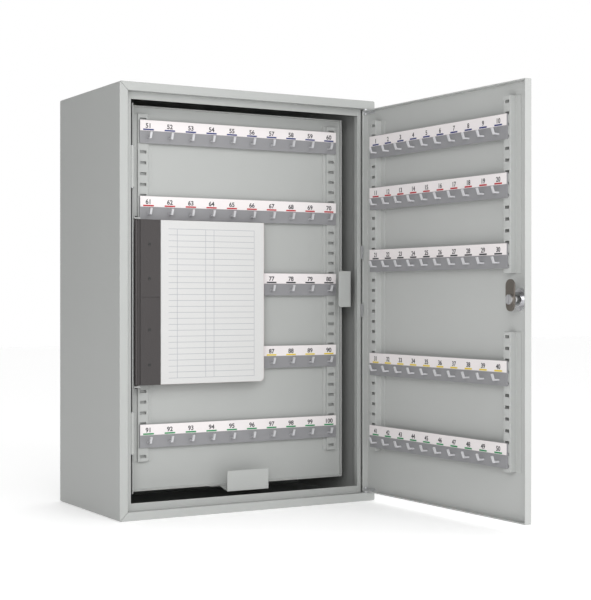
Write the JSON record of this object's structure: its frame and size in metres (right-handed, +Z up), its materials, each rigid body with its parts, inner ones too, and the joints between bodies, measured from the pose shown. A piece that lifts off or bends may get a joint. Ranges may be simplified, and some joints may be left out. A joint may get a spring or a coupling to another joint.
{
  "type": "key cabinet",
  "caption": "Wall key cabinet with a hinged door, a cam lock, a swing-out panel of numbered hook bars and a turning key register.",
  "frame": {"origin": "middle of the case's underside", "axes": "+Z up, -Y out of the front, +X towards the door's hinges"},
  "size_m": [0.3792, 0.5595, 0.55],
  "materials": {
    "case_paint": "fine-textured light grey powder coat",
    "door_paint": "fine-textured light grey powder coat",
    "panel_paint": "fine-textured light grey powder coat",
    "bar_paint": "satin grey",
    "hook_steel": "zinc-plated strip",
    "zinc_steel": "zinc-plated",
    "number_strip": "printed strip",
    "lock_chrome": "nickel-plated",
    "plug_brass": "nickel-plated brass",
    "cam_steel": "dull plated",
    "page_paper": "ruled paper",
    "cover_board": "board",
    "binding_plastic": "grained dark plastic",
    "rod_black": "black"
  },
  "bodies": {
    "cabinet": {"cabinet_shell": "case_paint", "back_plate": "case_paint", "hinge_post": "case_paint", "door_pivot_pins": "zinc_steel", "door_pivot_washers": "zinc_steel", "panel_case_leaves": "panel_paint", "panel_hinge_pins": "zinc_steel"},
    "door": {"door_pan": "door_paint", "door_pivot_plates": "zinc_steel", "door_dogs": "zinc_steel", "door_rail_hinge_side": "door_paint", "door_rail_upper": "door_paint", "door_rail_lower": "door_paint", "door_bar_1": "bar_paint", "door_bar_2": "bar_paint", "door_bar_3": "bar_paint", "door_bar_4": "bar_paint", "door_bar_5": "bar_paint", "door_number_strips": "number_strip", "door_hooks_1": "hook_steel", "door_hooks_2": "hook_steel", "door_hooks_3": "hook_steel", "door_hooks_4": "hook_steel", "door_hooks_5": "hook_steel", "lock_body": "lock_chrome", "lock_nut": "zinc_steel"},
    "lock_core": {"lock_plug": "plug_brass", "lock_cam": "cam_steel", "cam_screw": "zinc_steel"},
    "panel": {"panel_sheet": "panel_paint", "panel_leaves": "panel_paint", "panel_rail_left": "panel_paint", "panel_rail_right": "panel_paint", "side_grip": "panel_paint", "lower_grip": "panel_paint", "panel_bar_1": "bar_paint", "panel_bar_2": "bar_paint", "panel_bar_3": "bar_paint", "panel_bar_4": "bar_paint", "panel_bar_5": "bar_paint", "panel_number_strips": "number_strip", "panel_hooks_1": "hook_steel", "panel_hooks_2": "hook_steel", "panel_hooks_3": "hook_steel", "panel_hooks_4": "hook_steel", "panel_hooks_5": "hook_steel", "register_brackets": "panel_paint", "register_rod": "rod_black"},
    "register": {"register_binding": "binding_plastic", "register_rivets": "rod_black", "register_cover": "cover_board", "register_pages": "page_paper"},
    "leaf": {"register_leaf": "page_paper"}
  },
  "joints": [
    {"name": "door_swing", "type": "hinge", "parent": "cabinet", "child": "door", "pos_m": [0.177, -0.101, 0.275], "axis": [0, 0, 1], "range_deg": [-91, 13]},
    {"name": "lock_turn", "type": "hinge", "parent": "door", "child": "lock_core", "pos_m": [0.18934, -0.43534, 0.2775], "axis": [0.9998, 0.0174, 0], "range_deg": [0, 90]},
    {"name": "panel_swing", "type": "hinge", "parent": "cabinet", "child": "panel", "pos_m": [-0.1635, -0.0899, 0.275], "axis": [0, 0, -1], "range_deg": [0, 90]},
    {"name": "register_swing", "type": "hinge", "parent": "panel", "child": "register", "pos_m": [-0.1533, -0.0791, 0.275], "axis": [0, 0, -1], "range_deg": [0, 60]},
    {"name": "leaf_turn", "type": "hinge", "parent": "register", "child": "leaf", "pos_m": [-0.1199, -0.08115, 0.275], "axis": [0, 0, -1], "range_deg": [0, 80]}
  ]
}
